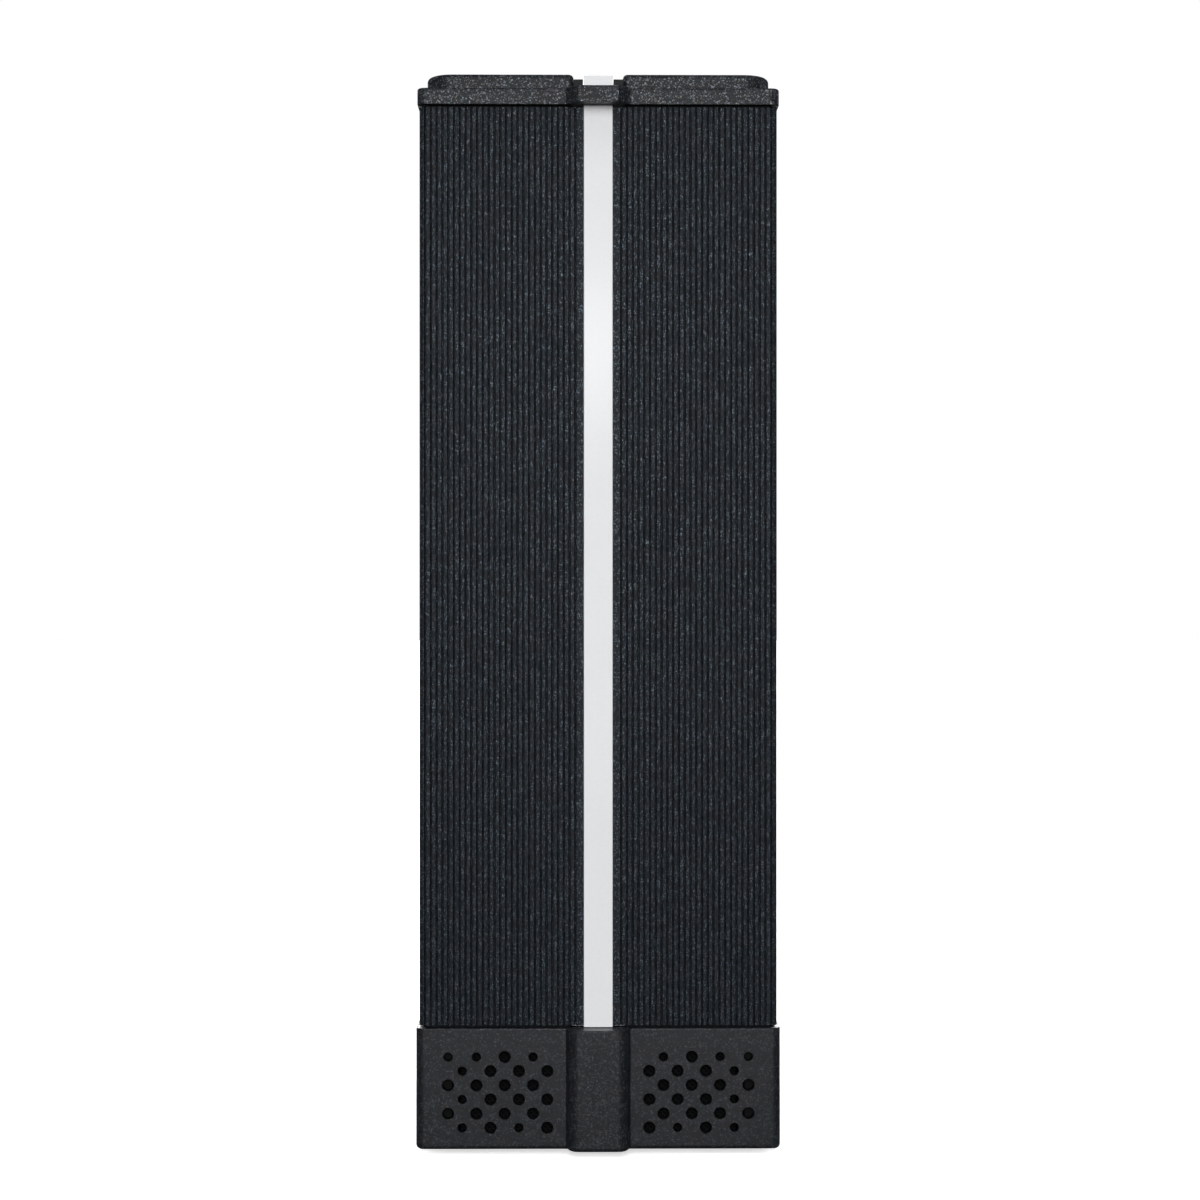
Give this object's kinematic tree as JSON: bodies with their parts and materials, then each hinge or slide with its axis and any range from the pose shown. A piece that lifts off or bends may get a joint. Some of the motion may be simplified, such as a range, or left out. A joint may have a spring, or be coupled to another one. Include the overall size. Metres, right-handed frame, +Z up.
{
  "type": "air purifier",
  "caption": "Desktop tower air purifier: perforated square base with fan, ribbed black tower, white light strips and a lift-off cap that carries a round pleated filter.",
  "frame": {"origin": "middle of the footprint, on the surface that the feet stand on", "axes": "+Z up; the front, which carries the white strip seen first, faces -Y; +X is to the right of someone who looks at the front"},
  "size_m": [0.1044, 0.1124, 0.3097],
  "materials": {
    "textured_black": "fine spark texture with metal flake",
    "ribbed_black": "matte, fine vertical ribs",
    "plain_black": "plain moulded",
    "opal_white": "satin, light passes through",
    "rubber": "soft matte",
    "steel": "zinc plated",
    "circuit_green": "circuit board with green mask",
    "filter_white": "pleated paper-like fleece",
    "carbon_black": "granules in a mesh",
    "nickel": "nickel-plated magnet",
    "lead_grey": "insulated wire bundle"
  },
  "bodies": {
    "housing": {"base_housing": "textured_black", "base_plate": "plain_black", "board_screw_left": "steel", "board_screw_right": "steel", "control_board": "circuit_green", "dc_jack": "plain_black", "deck": "plain_black", "fan_frame": "plain_black", "fan_guard": "plain_black", "fan_lead": "lead_grey", "fan_screw_front_left": "steel", "fan_screw_front_right": "steel", "fan_screw_rear_left": "steel", "fan_screw_rear_right": "steel", "fan_stator": "steel", "foot_front_left": "rubber", "foot_front_right": "rubber", "foot_rear_left": "rubber", "foot_rear_right": "rubber", "front_led_board": "circuit_green", "front_led_lead": "lead_grey", "front_light_strip": "opal_white", "inlet_screen_front": "plain_black", "inlet_screen_left": "plain_black", "inlet_screen_rear": "plain_black", "inlet_screen_right": "plain_black", "left_shell": "ribbed_black", "rear_led_board": "circuit_green", "rear_led_lead": "lead_grey", "rear_light_strip": "opal_white", "right_shell": "ribbed_black", "rod_nut_front_left": "steel", "rod_nut_front_right": "steel", "rod_nut_rear_left": "steel", "rod_nut_rear_right": "steel", "switch_board": "circuit_green", "tie_rod_front_left": "steel", "tie_rod_front_right": "steel", "tie_rod_rear_left": "steel", "tie_rod_rear_right": "steel", "top_frame": "plain_black"},
    "fan": {"fan_rotor": "plain_black", "fan_shaft": "steel", "rotor_magnet": "nickel"},
    "button": {"power_button": "textured_black"},
    "cap_and_filter": {"cap_plate": "textured_black", "left_outlet_grille": "textured_black", "right_outlet_grille": "textured_black", "light_bar_bezel": "plain_black", "top_light_bar": "opal_white", "cap_magnet_front_left": "nickel", "cap_magnet_front_right": "nickel", "cap_magnet_rear_right": "nickel", "cap_magnet_rear_left": "nickel", "filter_top_plate": "plain_black", "filter_seal": "rubber", "filter_media": "filter_white", "carbon_sleeve": "carbon_black", "filter_bottom_cap": "plain_black"}
  },
  "joints": [
    {"name": "fan_spin", "type": "hinge", "parent": "housing", "child": "fan", "pos_m": [0, 0, 0.05], "axis": [0, 0, 1], "continuous": true},
    {"name": "power_button_press", "type": "slide", "parent": "housing", "child": "button", "axis": [0, -1, 0], "range_m": [0, 0.0012], "stiffness_N_per_m": 400, "springref_m": -0.002},
    {"name": "cap_lift", "type": "slide", "parent": "housing", "child": "cap_and_filter", "axis": [0, 0, 1], "range_m": [0, 0.235]}
  ]
}
